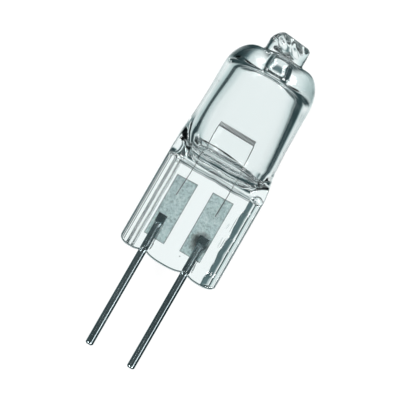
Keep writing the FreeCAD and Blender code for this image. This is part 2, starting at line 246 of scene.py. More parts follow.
def metal_material(name, dark, light, polish, scale, stretch):
    """Drawn metal. Its tone and its polish vary along the grain."""
    material, nodes = new_material(name)
    shader = principled(nodes, Metallic=1.0)
    coords = nodes.coords()
    tone = nodes.noise(coords, scale, 3.0, 0.6, stretch)
    nodes.link(nodes.ramp(tone, [(0.3, dark), (0.7, light)]), shader.inputs["Base Color"])
    rough = nodes.noise(coords, scale * 1.7, 2.0, 0.5, stretch)
    bright, dull = polish
    nodes.link(nodes.ramp(rough, [(0.3, bright), (0.7, dull)]), shader.inputs["Roughness"])
    nodes.link(nodes.bump(tone, 0.15, 0.00002), shader.inputs["Normal"])
    return material


GLASS = glass_material()
FOIL = foil_material()
PIN = metal_material(
    "molybdenum_pin",
    dark=(0.3, 0.36, 0.38),
    light=(0.5, 0.58, 0.6),
    polish=(0.1, 0.17),
    scale=1400.0,
    stretch=(1.0, 0.06, 1.0),
)
TUNGSTEN = metal_material(
    "tungsten_wire",
    dark=(0.09, 0.1, 0.1),
    light=(0.2, 0.22, 0.22),
    polish=(0.25, 0.4),
    scale=4000.0,
    stretch=(1.0, 1.0, 1.0),
)


# Curves
def soft_min(a, b, k):
    """The smaller of two values, rounded over a range k where they cross."""
    h = np.clip(0.5 + 0.5 * (b - a) / k, 0, 1)
    return b * (1 - h) + a * h - k * h * (1 - h)


def step(low, high, value):
    """A smooth rise from 0 at low to 1 at high."""
    t = np.clip((value - low) / (high - low), 0, 1)
    return t * t * (3 - 2 * t)


def circle_side(u):
    """Height of a unit circle's edge at u from its middle."""
    return np.sqrt(np.clip(1 - u**2, 0, None))


def turned(z, start, radius, angle):
    """How far a face that turns outwards has gone at height z."""
    rise = np.clip(z - start, 0, None)
    top = radius * math.sin(angle)
    arc = radius - np.sqrt(np.clip(radius**2 - np.clip(rise, 0, top) ** 2, 0, None))
    return arc + np.clip(rise - top, 0, None) * math.tan(angle)


def along(z, marks, blur=0.2):
    """A smooth curve through (height, value) marks."""
    heights, values = zip(*marks)
    taps = np.linspace(-blur, blur, 9)
    return sum(np.interp(z + tap, heights, values) for tap in taps) / len(taps)


# Sizes of the glass
LOW = 8.8  # height of the pinch's lower end
CYLINDER_START = 21.2  # above this height the bulb is round
BULB_TOP = 28.87  # height where the bulb gives way to the stub
SHOULDER_R = 2.05  # how far inwards the shoulder curves
SHOULDER_HIGH = 2.9
SHOULDER_BOTTOM = BULB_TOP - SHOULDER_HIGH
SHOULDER_SLANT = 0.028  # rise per millimetre to the right at the bulb's top
SLANT_START = 26.5
PLATE_FACE = 1.0  # half depth of the pressed plate
BEAD_FACE = 1.95  # half depth of the slab that the plate is pressed into
BEAD_SCALE = 1.6  # millimetres for a bead of height 1
LEFT_BEND = 0.5  # width over which the slab's edge bends to its face
RIGHT_BEND = 0.6
BEND_TIGHTENS = 0.3  # how much narrower the left bend gets in the neck
LEFT_WALL = 0.45  # share of the slab's half depth that stands upright at its edge
RIGHT_WALL = 0.15
NECK_WALL = 0.05

# the jaws' faces at the front (-1) and the back (1): height where a face turns outwards,
# radius of the turn and angle that it turns to
JAWS = {-1: (17.2, 1.6, math.radians(78.0)), 1: (17.57, 1.3, math.radians(72.0))}
FLANK_TURN_R = 0.45  # radius of that turn at the pinch's flanks
PRESS_BLEND = 0.16  # range over which slab and pressed face run into each other

# (height, start, end) of the steps up to the left bead and its crest, going outwards
LEFT_STEPS = ((0.28, 0.0, 0.2), (0.32, 0.4, 0.72))
LEFT_CREST = (0.8, 0.55, 0.75)
# (slope, start, width) of the right bead's flank
RIGHT_SLOPES = ((0.58, 0.0, 0.45), (0.46, 0.45, 0.65))
WEDGE_SLOPE = 0.66  # extra glass at the neck's left flank
WEDGE_X = -2.75
WEDGE_WIDE = 1.6
RIDGE_Z = 17.28
RIDGE_HIGH = 0.15
RIDGE_WIDE = 0.13

# heights between which one form gives way to the next
LEFT_BEND_TIGHTENS = (17.3, 17.8)
WALL_THINS = (17.4, 18.8)
SLAB_TO_BULB = (18.2, 20.7)
LEFT_BEAD_END = (17.0, 17.6)
RIGHT_BEAD_END = (17.3, 17.9)
WEDGE_START = (17.0, 18.0)
JAW_DELAY_END = (18.8, 19.8)

# (height, x) of the glass's sides and of the beads' inner edges
LEFT_SIDE = ((8.8, -4.27), (19.2, -4.27), (20.2, -4.18), (21.6, -4.05), (23.5, BULB_X - BULB_R))
RIGHT_SIDE = (
    (8.8, 4.83),
    (17.6, 4.82),
    (18.5, 4.72),
    (20.1, 4.40),
    (22.0, 4.29),
    (23.5, BULB_X + BULB_R),
)
LEFT_EDGE = ((8.8, -2.92), (17.6, -2.92), (18.2, -2.98), (18.7, -3.15), (19.1, -3.5))
RIGHT_EDGE = ((8.8, 3.58), (17.5, 3.66), (18.0, 3.7), (18.5, 3.9), (18.9, 4.3), (19.2, 4.6))
# (x, how much later the jaws' faces turn outwards there) towards the pinch's flanks
FLANK_RISE = ((-4.4, 1.75), (-3.2, 1.05), (-2.6, 0.0), (3.3, 0.0), (3.9, 1.0), (4.9, 1.5))

# (left, right, drop) of the lobes in the pinch's lower edge
LOBES = ((-4.27, -2.0, 0.62), (-2.0, 2.0, 0.65), (2.0, 4.83, 0.6))
LOBE_HIGH = 0.65
LOBE_POWER = 2.6
LOBE_PULL = 2.4  # height over which the lobes fade out
EDGE_ROUND = 0.2  # height over which the pinch's lower edge is rounded

# (lower height, upper height, rows of points) along the outside, closer where it bends
ROW_SPANS = (
    (LOW, 11.2, 26),
    (11.2, 16.9, 32),
    (16.9, 17.9, 26),
    (17.9, 19.9, 52),
    (19.9, CYLINDER_START, 12),
    (CYLINDER_START, SHOULDER_BOTTOM, 9),
)

STUB_TOP = 30.9
STUB_R = 1.76
STUB_CORNER = 0.22
STUB_DEEP = 0.9  # share of its width that the stub is deep at its top
STUB_TAPER = 0.1  # share of its depth that it loses up to there
STUB_LAST = 0.02  # share of its width at which its top stops, to be filled
ROUND_POWER = 2.0  # power of a round section
SQUARE_POWER = 3.2  # power of the stub's squarish section
POWER_GAIN = 1.2
QUARTER_TURN = 1.57  # rounded

FLOOR_Z = 17.6  # height of the hollow's floor
TROUGH_TOP = 18.35
TROUGH = 0.8  # half depth of the trough that the floor lies in
TROUGH_WAVE = 0.16
ARCH_HIGH = 0.3  # how much higher the floor lies at its sides
ARCH_HALF = 2.9
ARCH_FADE = (18.2, 19.6)
INNER_BLEND = 0.12
# as JAWS, for the faces of the hollow above its floor
INNER = {-1: (18.37, 0.5, math.radians(75.0)), 1: (18.36, 0.5, math.radians(72.0))}
FINE_END = 19.7  # below this height the hollow's rows are closer
INNER_END = 19.75  # above this height the hollow is round
HOLLOW_R = 3.2
HOLLOW_TOP = 27.03
DOME_START = 26.0
DOME_WIDE = 0.95  # rounding of the hollow's top as seen from the front
DOME_DEEP = 0.36  # and in depth
BORE_R = 0.86
BORE_X = 0.22
BORE_SIDE = BORE_X - BULB_X  # the bore's axis, from the bulb's
BORE_TOP = 28.62
BORE_FLARE = 0.2
BORE_END_R = 0.26
BORE_LAST_R = 0.02  # radius at which the closed end stops, to be filled

# (height, x from the bulb's axis) of the hollow's walls
HOLLOW_LEFT = (
    (17.55, -1.6), (17.66, -2.2), (17.85, -2.5), (18.2, -2.65), (18.6, -2.82), (19.0, -3.0),
    (19.4, -3.14), (19.7, -3.23), (21.0, -3.3), (22.6, -3.28), (23.9, -3.2), (25.1, -3.12),
    (26.0, -3.08), (27.2, -3.05),
)
HOLLOW_RIGHT = (
    (17.55, 2.1), (17.66, 2.7), (17.85, 3.05), (18.2, 3.35), (18.6, 3.52), (19.0, 3.57),
    (19.4, 3.53), (19.7, 3.46), (21.0, 3.38), (22.6, 3.26), (23.9, 3.18), (25.1, 3.1),
    (26.0, 3.0), (27.2, 2.96),
)
HOLLOW_BLUR = 0.12


# Outside of the glass
def outer_profile():
    """(radius, height) along the bulb's outside, from the pinch's lower end to the stub."""
    heights = [np.linspace(low, high, count, endpoint=False) for low, high, count in ROW_SPANS]
    rows = [(BULB_R, z) for z in np.concatenate(heights)]
    for a in np.linspace(0, math.pi / 2, 24, endpoint=False):
        radius = BULB_R - SHOULDER_R + SHOULDER_R * math.cos(a) ** 0.95
        rows.append((radius, SHOULDER_BOTTOM + SHOULDER_HIGH * math.sin(a)))
    return rows


def slab_depth(x, z, middle, half):
    """Half depth of the slab that the pinch is pressed from: flat, with bent edges."""
    on_left = x < middle
    tighter = LEFT_BEND - BEND_TIGHTENS * step(*LEFT_BEND_TIGHTENS, z)
    bend = np.where(on_left, tighter, RIGHT_BEND)
    edge = np.clip(half - np.abs(x - middle), 0, bend)
    wall = np.where(on_left, LEFT_WALL, RIGHT_WALL)
    wall = wall + (NECK_WALL - wall) * step(*WALL_THINS, z)
    slab = BEAD_FACE * (wall + (1 - wall) * np.sqrt(1 - (1 - edge / bend) ** 2))
    return slab * step(0.0, 0.004, edge)


def bead_end(x, z, heights, middle, half, droop):
    """1 along a bead and 0 above its end, which hangs lower at the bead's sides."""
    return 1 - step(*heights, z + droop * ((x - middle) / half) ** 2)


def bead_relief(x, z):
    """Height of the beads on the pressed face, in shares of BEAD_SCALE, and what the left
    one's crest adds in millimetres."""
    wobble = 0.03 * np.sin(2.1 * z + 0.7) + 0.015 * np.sin(5.3 * z)
    into_left = along(z, LEFT_EDGE) - x + 0.3 * wobble
    into_right = x - along(z, RIGHT_EDGE) + 1.6 * wobble
    left = sum(high * step(start, end, into_left) for high, start, end in LEFT_STEPS)
    right = sum(
        slope * np.clip(into_right - start, 0, width) for slope, start, width in RIGHT_SLOPES
    )
    left_end = bead_end(x, z, LEFT_BEAD_END, middle=-3.6, half=0.7, droop=0.3)
    right_end = bead_end(x, z, RIGHT_BEAD_END, middle=4.2, half=0.6, droop=0.45)
    bead = np.maximum(left * left_end, right / BEAD_SCALE * right_end)
    high, start, end = LEFT_CREST
    crest = high * step(start, end, into_left) * left_end
    return bead, crest


def ridge_relief(x, z, bead):
    """The ridge that the press left across the pinch's top, between the beads."""
    from_crest = z - RIDGE_Z - 0.03 * np.sin(1.9 * x + 0.8) - 0.015 * np.sin(5.2 * x)
    high = RIDGE_HIGH + 0.03 * np.sin(1.4 * x)
    return high * np.exp(-((from_crest / RIDGE_WIDE) ** 2)) * (1 - np.clip(2 * bead, 0, 1))


def jaw_depth(x, z, side):
    """Half depth that the pressing jaws leave: the plate, and the face turning outwards."""
    bead, crest = bead_relief(x, z)
    wedge = WEDGE_SLOPE * np.clip(WEDGE_X - x, 0, WEDGE_WIDE) * step(*WEDGE_START, z)
    start, radius, angle = JAWS[side]
    later = along(x, FLANK_RISE, 0.15)
    radius = radius + (FLANK_TURN_R - radius) * step(0.2, 1.0, later)
    later = later * (1 - step(*JAW_DELAY_END, z))
    face = turned(z - later, start, radius, angle)
    relief = ridge_relief(x, z, bead)
    return PLATE_FACE + face + bead * BEAD_SCALE + crest + wedge + relief


def outer_depth(x, z, low, high, side):
    """The glass's half depth at (x, z) on one side, between the outline's low and high x."""
    middle = (low + high) / 2
    half = (high - low) / 2
    u = np.clip(np.abs(x - middle) / half, 0, 1)
    slab = slab_depth(x, z, middle, half)
    sooner_inside = 4 * np.clip(0.9 - u, 0, 1)
    fade = step(*SLAB_TO_BULB, z + sooner_inside)
    whole = slab + (BULB_R * circle_side(u) - slab) * fade
    return soft_min(whole, jaw_depth(x, z, side), PRESS_BLEND)


def lower_edge(x):
    """Height of the pinch's lower edge, with a lobe beside and between the pins."""
    z = np.full_like(x, LOW + LOBE_HIGH)
    for left, right, drop in LOBES:
        middle = (left + right) / 2
        half = (right - left) / 2
        inside = np.abs(x - middle) < half
        lobe = drop * np.sqrt(np.clip(1 - (np.abs(x - middle) / half) ** LOBE_POWER, 0, None))
        z = np.where(inside, LOW + LOBE_HIGH - lobe, z)
    return z


def column_places(count):
    """Places from -1 to 1, closer together at the pinch's flanks and at the sides."""
    fine = np.linspace(-1, 1, 4001)
    mirrored = np.abs(fine)
    density = 1.0
    for places, middle, width, extra in (
        (fine, -0.78, 0.08, 2.2),
        (fine, 0.8, 0.07, 2.2),
        (mirrored, 0.95, 0.05, 2.0),
        (mirrored, 1.0, 0.006, 14.0),
    ):
        density = density + extra * np.exp(-(((places - middle) / width) ** 2))
    total = np.concatenate(([0], np.cumsum((density[1:] + density[:-1]) / 2)))
    return np.interp(np.linspace(0, total[-1], count), total, fine)


def stub_rows():
    """(half width, half depth, height, squareness) of the exhaust tube's stub, still straight."""
    rows = []
    for r in np.linspace(BULB_R - SHOULDER_R, STUB_R + STUB_CORNER, 5, endpoint=False):
        rows.append((r, r, BULB_TOP, ROUND_POWER))
    for a in np.linspace(0, math.pi / 2, 6):
        r = STUB_R + STUB_CORNER * (1 - math.sin(a))
        power = ROUND_POWER + POWER_GAIN * a / QUARTER_TURN
        rows.append((r, r, BULB_TOP + STUB_CORNER * (1 - math.cos(a)), power))
    straight = STUB_TOP - BULB_TOP - STUB_CORNER
    for k in np.linspace(0, 1, 26)[1:]:
        deep = STUB_R * (1 - STUB_TAPER * k)
        rows.append((STUB_R, deep, BULB_TOP + STUB_CORNER + k * straight, SQUARE_POWER))
    for r in np.linspace(1, STUB_LAST, 12)[1:]:
        power = SQUARE_POWER - POWER_GAIN * (1 - r)
        rows.append((STUB_R * r, STUB_R * STUB_DEEP * r, STUB_TOP, power))
    return rows


def stub_point(x, y, z):
    """Bends a point of the straight stub to the drawn-off form, slanting and wrinkled."""
    foot = 0.3
    rise = np.clip((z - BULB_TOP - foot) / (STUB_TOP - BULB_TOP - foot), 0, 1)
    side = x - BULB_X
    # the top slants to the right and drops at the far left, far right, front and back
    top = STUB_TOP - 0.04 - 0.11 * (side + 1.0)
    top = top - 1.15 * np.clip((-side - 0.72) / 1.05, 0, 1) ** 2.2
    top = top - 0.16 * np.clip((side - 1.35) / 0.4, 0, 1) ** 2
    top = top - 0.75 * np.clip((np.abs(y) - 0.55) / 1.1, 0, 1) ** 2
    z = z + rise**1.5 * (top - STUB_TOP)
    wrinkle = 0.05 * np.sin(3.4 * z + 1.2 * side) + 0.05 * np.sin(5.1 * side + 2.0 * z + 0.6)
    y = y * (1 + rise * wrinkle * 1.6 - 0.12 * rise)
    x = x + rise * (0.03 * np.sin(4.3 * z) - 0.02)
    return x, y, z


def sheet_faces(rows, columns, reverse=False):
    """Quads of two sheets of points, the second one facing the other way."""
    total = rows * columns
    faces = []
    for i in range(rows - 1):
        for j in range(columns - 1):
            a = i * columns + j
            b = a + columns
            c = a + total
            d = b + total
            for face in ((a, a + 1, b + 1, b), (c + 1, c, d, d + 1)):
                faces.append(face[::-1] if reverse else face)
    return faces


def envelope_outside(columns=160):
    """Front and back sheet of the glass's outside, stub included."""
    u = column_places(columns)
    sheets = {-1: [], 1: []}
    for radius, z in outer_profile():
        if radius == BULB_R:
            low = along(z, LEFT_SIDE)
            high = along(z, RIGHT_SIDE)
        else:
            low = BULB_X - radius
            high = BULB_X + radius
        x = (low + high) / 2 + (high - low) / 2 * u
        edge = lower_edge(x)
        pull = np.clip(1 - (z - LOW) / LOBE_PULL, 0, 1) ** 1.5
        for side in (-1, 1):
            zs = np.full_like(x, z)
            if z < CYLINDER_START:
                deep = outer_depth(x, zs, low, high, side)
            else:
                deep = radius * circle_side(u)
            zs = zs + (edge - LOW) * pull
            near = np.clip(np.clip(zs - edge, 0, None) / EDGE_ROUND, 0, 1)
            deep = deep * np.sqrt(np.clip(1 - (1 - near) ** 2, 0, 1))
            zs = zs + SHOULDER_SLANT * (x - BULB_X) * step(SLANT_START, BULB_TOP, zs)
            sheets[side].append(np.column_stack((x, side * deep, zs)))
    for half_width, half_depth, z, power in stub_rows():
        x = BULB_X + half_width * u
        flat = np.clip(1 - np.abs(u) ** power, 0, None) ** (1 / power)
        slant = SHOULDER_SLANT * (x - BULB_X) * np.clip(1 - (z - BULB_TOP) / 0.5, 0, 1)
        for side in (-1, 1):
            px, py, pz = stub_point(x, side * half_depth * flat, np.full_like(x, z))
            sheets[side].append(np.column_stack((px, py, pz + slant)))
    faces = sheet_faces(len(sheets[1]), columns)
    return np.vstack(sheets[-1] + sheets[1]), faces


# Hollow and voids in the glass
def bore_rows(left, right, deep):
    """Rows from the hollow's top inwards to the bore's mouth and up to its closed end."""
    rows = []
    mouth = BORE_R + BORE_FLARE
    for k in np.linspace(0, 1, 9)[1:]:
        rows.append(
            (
                left + (BORE_SIDE - mouth - left) * k,
                right + (BORE_SIDE + mouth - right) * k,
                deep + (mouth - deep) * k,
                HOLLOW_TOP,
            )
        )
    circles = []
    quarter = np.linspace(0, math.pi / 2, 6)[1:]
    for a in quarter:
        z = HOLLOW_TOP + BORE_FLARE * (1 - math.cos(a))
        circles.append((BORE_R + BORE_FLARE * (1 - math.sin(a)), z))
    for z in np.linspace(HOLLOW_TOP + BORE_FLARE, BORE_TOP - BORE_END_R, 8)[1:]:
        circles.append((BORE_R + 0.02 * math.sin(7 * z), z))
    flat_end = circles[-1][0] - BORE_END_R
    for a in quarter:
        z = BORE_TOP - BORE_END_R + BORE_END_R * math.sin(a)
        circles.append((flat_end + BORE_END_R * math.cos(a), z))
    for r in np.linspace(flat_end, BORE_LAST_R, 6)[1:]:
        circles.append((r, BORE_TOP))
    for r, z in circles:
        rows.append((BORE_SIDE - r, BORE_SIDE + r, r, z))
    return rows


def hollow_rows():
    """(left, right, half depth, height) of the hollow from its floor to the bore's top."""
    quarter = np.linspace(0, math.pi / 2, 16)
    heights = list(FLOOR_Z + (TROUGH_TOP - FLOOR_Z) * (1 - np.cos(quarter)))
    heights += list(np.linspace(TROUGH_TOP, FINE_END, 34)[1:])
    heights += list(np.linspace(FINE_END, DOME_START, 14)[1:])
    spans = [(z, 0.0, HOLLOW_R) for z in heights]
    for a in np.linspace(0, math.pi / 2, 26)[1:]:
        z = HOLLOW_TOP - DOME_WIDE + DOME_WIDE * math.sin(a)
        if z <= DOME_START:
            continue
        over = np.clip(z - (HOLLOW_TOP - DOME_DEEP), 0, DOME_DEEP)
        deep = HOLLOW_R - DOME_DEEP + math.sqrt(DOME_DEEP**2 - over**2)
        spans.append((z, DOME_WIDE * (1 - math.cos(a)), deep))
    rows = []
    for z, inward, deep in spans:
        left = along(z, HOLLOW_LEFT, HOLLOW_BLUR) + inward
        right = along(z, HOLLOW_RIGHT, HOLLOW_BLUR) - inward
        rows.append((left, right, deep, z))
    left, right, deep, _ = rows[-1]
    return rows + bore_rows(left, right, deep)


def hollow(columns=100):
    """Front and back sheet of the hollow. Its floor is a trough pressed by the jaws."""
    rows = hollow_rows()
    turn = np.linspace(-math.pi / 2, math.pi / 2, columns)
    u = np.sin(turn)
    sheets = []
    for side in (-1, 1):
        for left, right, radius, z in rows:
            x = BULB_X + (left + right) / 2 + (right - left) / 2 * u
            deep = radius * np.cos(turn)
            if z < INNER_END:
                drop = np.clip((TROUGH_TOP - z) / (TROUGH_TOP - FLOOR_Z), 0, 1)
                upright = math.sqrt(1 - drop**2)
                trough = TROUGH * (1 + TROUGH_WAVE * np.cos(2.3 * (x + 0.15)) * upright)
                limit = trough * upright + turned(z, *INNER[side])
                rounding = INNER_BLEND * np.minimum(1, limit / 0.3 + 0.02)
                deep = np.clip(soft_min(deep, limit, rounding), 0, None)
            arch = ARCH_HIGH * ((x + 0.1) / ARCH_HALF) ** 2 * (1 - step(*ARCH_FADE, z))
            sheets.append(np.column_stack((x, side * deep, z + arch)))
    return np.vstack(sheets), sheet_faces(len(rows), columns, reverse=True)


# middle, half sizes, turn in the picture plane in degrees and bend of each void: two in the
# stub, one below the foils, capillaries beside pins and beads, and flat ones in the bulb's wall
VOIDS = (
    ((-0.45, 0.0, 29.4), (0.52, 0.3, 0.11), -48.0, 0.05),
    ((0.16, 0.1, 29.22), (0.36, 0.25, 0.09), 32.0, 0.04),
    ((0.93, 0.0, 10.2), (0.06, 0.06, 0.05), 0.0, 0.0),
    ((-1.565, -0.08, 10.75), (0.055, 0.12, 1.2), 0.6, 0.0),
    ((-1.52, 0.05, 9.75), (0.06, 0.1, 0.32), -4.0, 0.0),
    ((2.44, -0.08, 11.1), (0.06, 0.12, 0.8), -1.5, 0.0),
    ((2.45, 0.02, 9.9), (0.06, 0.1, 0.42), 5.0, 0.0),
    ((3.5, 0.0, 14.7), (0.022, 0.05, 0.75), 0.5, 0.0),
    ((3.49, 0.0, 12.9), (0.022, 0.05, 0.55), -1.0, 0.0),
    ((3.28, 0.0, 12.9), (0.05, 0.015, 0.5), 2.0, 0.0),
    ((3.15, 0.0, 14.4), (0.06, 0.015, 0.25), -6.0, 0.0),
    ((-3.35, -0.2, 24.6), (0.09, 0.12, 0.025), 8.0, 0.0),
    ((3.42, -0.2, 22.05), (0.09, 0.12, 0.025), -8.0, 0.0),
)


def void(centre, sizes, turn, bend, rings=14, around=18):
    """A closed void in the glass: an ellipsoid turned in the picture plane and bent."""
    points = [(0, 0, -1)]
    for i in range(1, rings):
        a = math.pi * i / rings
        for j in range(around):
            b = 2 * math.pi * j / around
            points.append((math.sin(a) * math.cos(b), math.sin(a) * math.sin(b), -math.cos(a)))
    points.append((0, 0, 1))
    p = np.array(points, float) * np.array(sizes)
    p[:, 2] += bend * (p[:, 0] / sizes[0]) ** 2
    c = math.cos(math.radians(turn))
    s = math.sin(math.radians(turn))
    x = p[:, 0] * c - p[:, 2] * s
    z = p[:, 0] * s + p[:, 2] * c
    last = len(points) - 1
    faces = []
    for j in range(around):
        k = (j + 1) % around
        faces.append((0, 1 + j, 1 + k))
        faces.append((last, last - around + k, last - around + j))
        for i in range(rings - 2):
            a = 1 + i * around
            faces.append((a + j, a + around + j, a + around + k, a + k))
    return np.column_stack((x + centre[0], p[:, 1] + centre[1], z + centre[2])), faces


def close_up(mesh):
    """Joins the sheets along their shared edges and fills the small holes at closed ends."""
    shell = bmesh.new()
    shell.from_mesh(mesh)
    bmesh.ops.remove_doubles(shell, verts=shell.verts, dist=2e-6)
    bmesh.ops.dissolve_degenerate(shell, edges=shell.edges, dist=1e-7)
    open_edges = [edge for edge in shell.edges if edge.is_boundary]
    if open_edges:
        bmesh.ops.holes_fill(shell, edges=open_edges, sides=0)
    bmesh.ops.triangulate(shell, faces=[face for face in shell.faces if len(face.verts) > 4])
    shell.to_mesh(mesh)
    shell.free()
    mesh.shade_smooth()


def build_glass():
    shells = [envelope_outside(), hollow()] + [void(*sizes) for sizes in VOIDS]
    points = []
    faces = []
    base = 0
    for shell_points, shell_faces in shells:
        faces += [tuple(corner + base for corner in face) for face in shell_faces]
        points.append(shell_points)
        base += len(shell_points)
    piece = add_mesh("glass", np.vstack(points), faces, GLASS)
    close_up(piece.data)
    return piece


# Metal pieces
PIN_TRIM = 0.001  # keeps the shank just inside its solid
# (height, how much smaller the radius is) along the chamfer at a pin's tip
PIN_TIP = ((0.0, TIP_CHAMFER), (0.03, 0.09), (0.07, 0.05), (TIP_CHAMFER, 0.0))
PIN_SPACING = 4.0
STAMP_HIGH = 0.95  # from the end of the round shank to the pin's inner end
STAMP_TURN = 0.35  # height over which round turns to flat
STAMP_FLAT = 0.6
STAMP_THICK = 0.17
WIRE_R = 0.034
COIL_LEFT = -1.72
COIL_RIGHT = 1.66
COIL_TURNS = 30
COIL_R = 0.2
COIL_HIGH = 21.5
LEFT_LEG = (
    (-1.9, -0.05, 14.5),
    (-1.86, -0.05, 15.3),
    (-1.78, -0.05, 16.6),
    (-1.76, -0.02, 18.0),
    (-1.8, 0.0, 19.2),
    (-1.78, 0.0, 20.2),
)
RIGHT_LEG = (
    (1.72, 0.0, 20.2),
    (1.8, 0.0, 19.2),
    (1.88, -0.02, 18.0),
    (1.9, -0.05, 16.6),
    (1.86, -0.05, 15.3),
    (1.84, -0.05, 14.56),
)
FOIL_HALF = 0.012  # half the foil's thickness
FOIL_RIM = 0.06  # width of its darker rim


def skin(rings):
    """Faces between rings of the same number of points, closed at both ends."""
    around = len(rings[0])
    faces = []
    for i in range(len(rings) - 1):
        for j in range(around):
            k = (j + 1) % around
            a = i * around
            b = a + around
            faces.append((a + j, a + k, b + k, b + j))
    faces.append(tuple(range(around))[::-1])
    last = (len(rings) - 1) * around
    faces.append(tuple(last + j for j in range(around)))
    return np.vstack(rings), faces


def build_pin(name, centre, flat_half, top):
    """Round pin, its inner end hammered flat where it meets the foil."""
    around = 48
    turn = np.linspace(0, 2 * math.pi, around, endpoint=False)
    c = np.cos(turn)
    s = np.sin(turn)
    shank_top = top - STAMP_HIGH
    spans = [(z, PIN_R - less) for z, less in PIN_TIP]
    spans += [(z, PIN_R) for z in np.linspace(0.2, shank_top, 40)]
    rings = []
    for z, radius in spans:
        radius = radius - PIN_TRIM
        rings.append(np.column_stack((centre + radius * c, radius * s, np.full(around, z))))
    for k in np.linspace(0, 1, 16)[1:]:
        blend = step(0.0, 1.0, k)
        wide = PIN_R + (flat_half - PIN_R) * blend
        thick = PIN_R + (STAMP_THICK - PIN_R) * blend
        power = 2.0 + 6.0 * blend
        size = (np.abs(c) ** power + np.abs(s) ** power) ** (-1 / power)
        z = np.full(around, shank_top + STAMP_TURN * k)
        rings.append(np.column_stack((centre + wide * size * c, thick * size * s, z)))
    for z in np.linspace(top - STAMP_FLAT, top, 8)[1:]:
        ring = rings[-1].copy()
        ring[:, 2] = z
        rings.append(ring)
    points, faces = skin(rings)
    return add_mesh(name + "_round", points, faces, PIN)


def filament_path():
    """Left leg up, a coil across the bulb, right leg down."""
    steps = 16
    pitch = (COIL_RIGHT - COIL_LEFT) / COIL_TURNS
    phase = np.arange(COIL_TURNS * steps + 1) * 2 * math.pi / steps
    lean = 0.3 * pitch * np.sin(phase)
    x = COIL_LEFT + pitch * phase / (2 * math.pi) + lean
    coil = np.column_stack((x, -COIL_R * np.sin(phase), COIL_HIGH - COIL_R * np.cos(phase)))
    return np.vstack((LEFT_LEG, coil, RIGHT_LEG))


def build_filament(around=8):
    """Round wire along the filament's path."""
    path = filament_path()
    ahead = np.gradient(path, axis=0)
    ahead /= np.linalg.norm(ahead, axis=1)[:, None]
    turn = np.linspace(0, 2 * math.pi, around, endpoint=False)[:, None]
    normal = np.cross(ahead[0], (0.3, 1.0, 0.2))
    rings = []
    for centre, way in zip(path, ahead):
        normal = normal - way * np.dot(normal, way)
        normal /= np.linalg.norm(normal)
        other = np.cross(way, normal)
        rings.append(centre + WIRE_R * (np.cos(turn) * normal + np.sin(turn) * other))
    points, faces = skin(rings)
    return add_mesh("filament_fine", points, faces, TUNGSTEN)


def build_foil(name, left, right, low, high, slant, shift):
    """Thin foil with crumpled faces."""
    columns = 60
    rows = 120
    u, v = np.meshgrid(np.linspace(0, 1, columns), np.linspace(0, 1, rows))
    x = left + (right - left) * u
    z = low + (high - low) * v + slant * (u - 0.5) * (2 * v - 1)
    crumple = (
        0.012 * np.sin(3.1 * z + 2.0 * x + shift)
        + 0.007 * np.sin(7.3 * x - 4.1 * z + 2 * shift)
        + 0.005 * np.sin(13.0 * x + 6.0 * np.sin(2.2 * z + shift))
        + 0.004 * np.sin(17.0 * z - 5.0 * x * np.sin(z + shift))
    )
    from_side = np.minimum(u, 1 - u)
    from_end = np.minimum(v, 1 - v)
    y = crumple * np.minimum(1, 8 * np.minimum(from_side, from_end))
    sheets = [
        np.column_stack((x.ravel(), (y + out).ravel(), z.ravel())) for out in (-FOIL_HALF, FOIL_HALF)
    ]
    total = rows * columns
    faces = sheet_faces(rows, columns)
    last_row = (rows - 1) * columns
    border = list(range(columns))
    border += [i * columns + columns - 1 for i in range(1, rows)]
    border += [last_row + j for j in range(columns - 2, -1, -1)]
    border += [i * columns for i in range(rows - 2, 0, -1)]
    for a, b in zip(border, border[1:] + border[:1]):
        faces.append((b, a, total + a, total + b))
    piece = add_mesh(name + "_crumpled", np.vstack(sheets), faces, FOIL)
    inward = np.minimum(from_side * (right - left), from_end * (high - low))
    rim = np.tile(np.exp(-((inward / FOIL_RIM) ** 2)).ravel(), 2)
    piece.data.attributes.new("rim", "FLOAT", "POINT").data.foreach_set("value", rim)
    return piece


# Stage
def floor_material():
    """Pale paper. The camera sees its own white, dimmed a little by the object's shadow.
    Rays that glass or metal has bent or mirrored pass through to the studio's field."""
    material, nodes = new_material("pale_floor")
    out = nodes.add("ShaderNodeOutputMaterial")
    path = nodes.add("ShaderNodeLightPath")
    paper = nodes.add("ShaderNodeBsdfDiffuse")
    paper.inputs["Color"].default_value = (0.95, 0.95, 0.95, 1)
    glow = nodes.add("ShaderNodeEmission")
    glow.inputs["Strength"].default_value = 1.0
    clear = nodes.add("ShaderNodeBsdfTransparent")
    own_share = 0.88
    shaded = nodes.mix_shader(own_share, paper.outputs[0], glow.outputs[0])
    seen = nodes.mix_shader(path.outputs["Is Camera Ray"], paper.outputs[0], shaded)
    nodes.link(nodes.mix_shader(nodes.bent(path), seen, clear.outputs[0]), out.inputs[0])
    return material


def add_floor():
    half = 0.6
    mesh = bpy.data.meshes.new("floor")
    corners = [(-half, -half, 0), (half, -half, 0), (half, half, 0), (-half, half, 0)]
    mesh.from_pydata(corners, [], [(0, 1, 2, 3)])
    mesh.materials.append(floor_material())
    floor = bpy.data.objects.new("floor", mesh)
    bpy.context.scene.collection.objects.link(floor)


# tones of the studio's field and cards
LIGHT = (0.93, 0.985, 0.985)
DARK = (0.03, 0.055, 0.06)
DEEP_GREY = (0.12, 0.19, 0.2)
PALE_GREY = (0.75, 0.85, 0.85)
PALE = (0.85, 0.93, 0.93)
ROOM_LOW = (0.04, 0.06, 0.063)
ROOM_HIGH = (0.09, 0.115, 0.118)
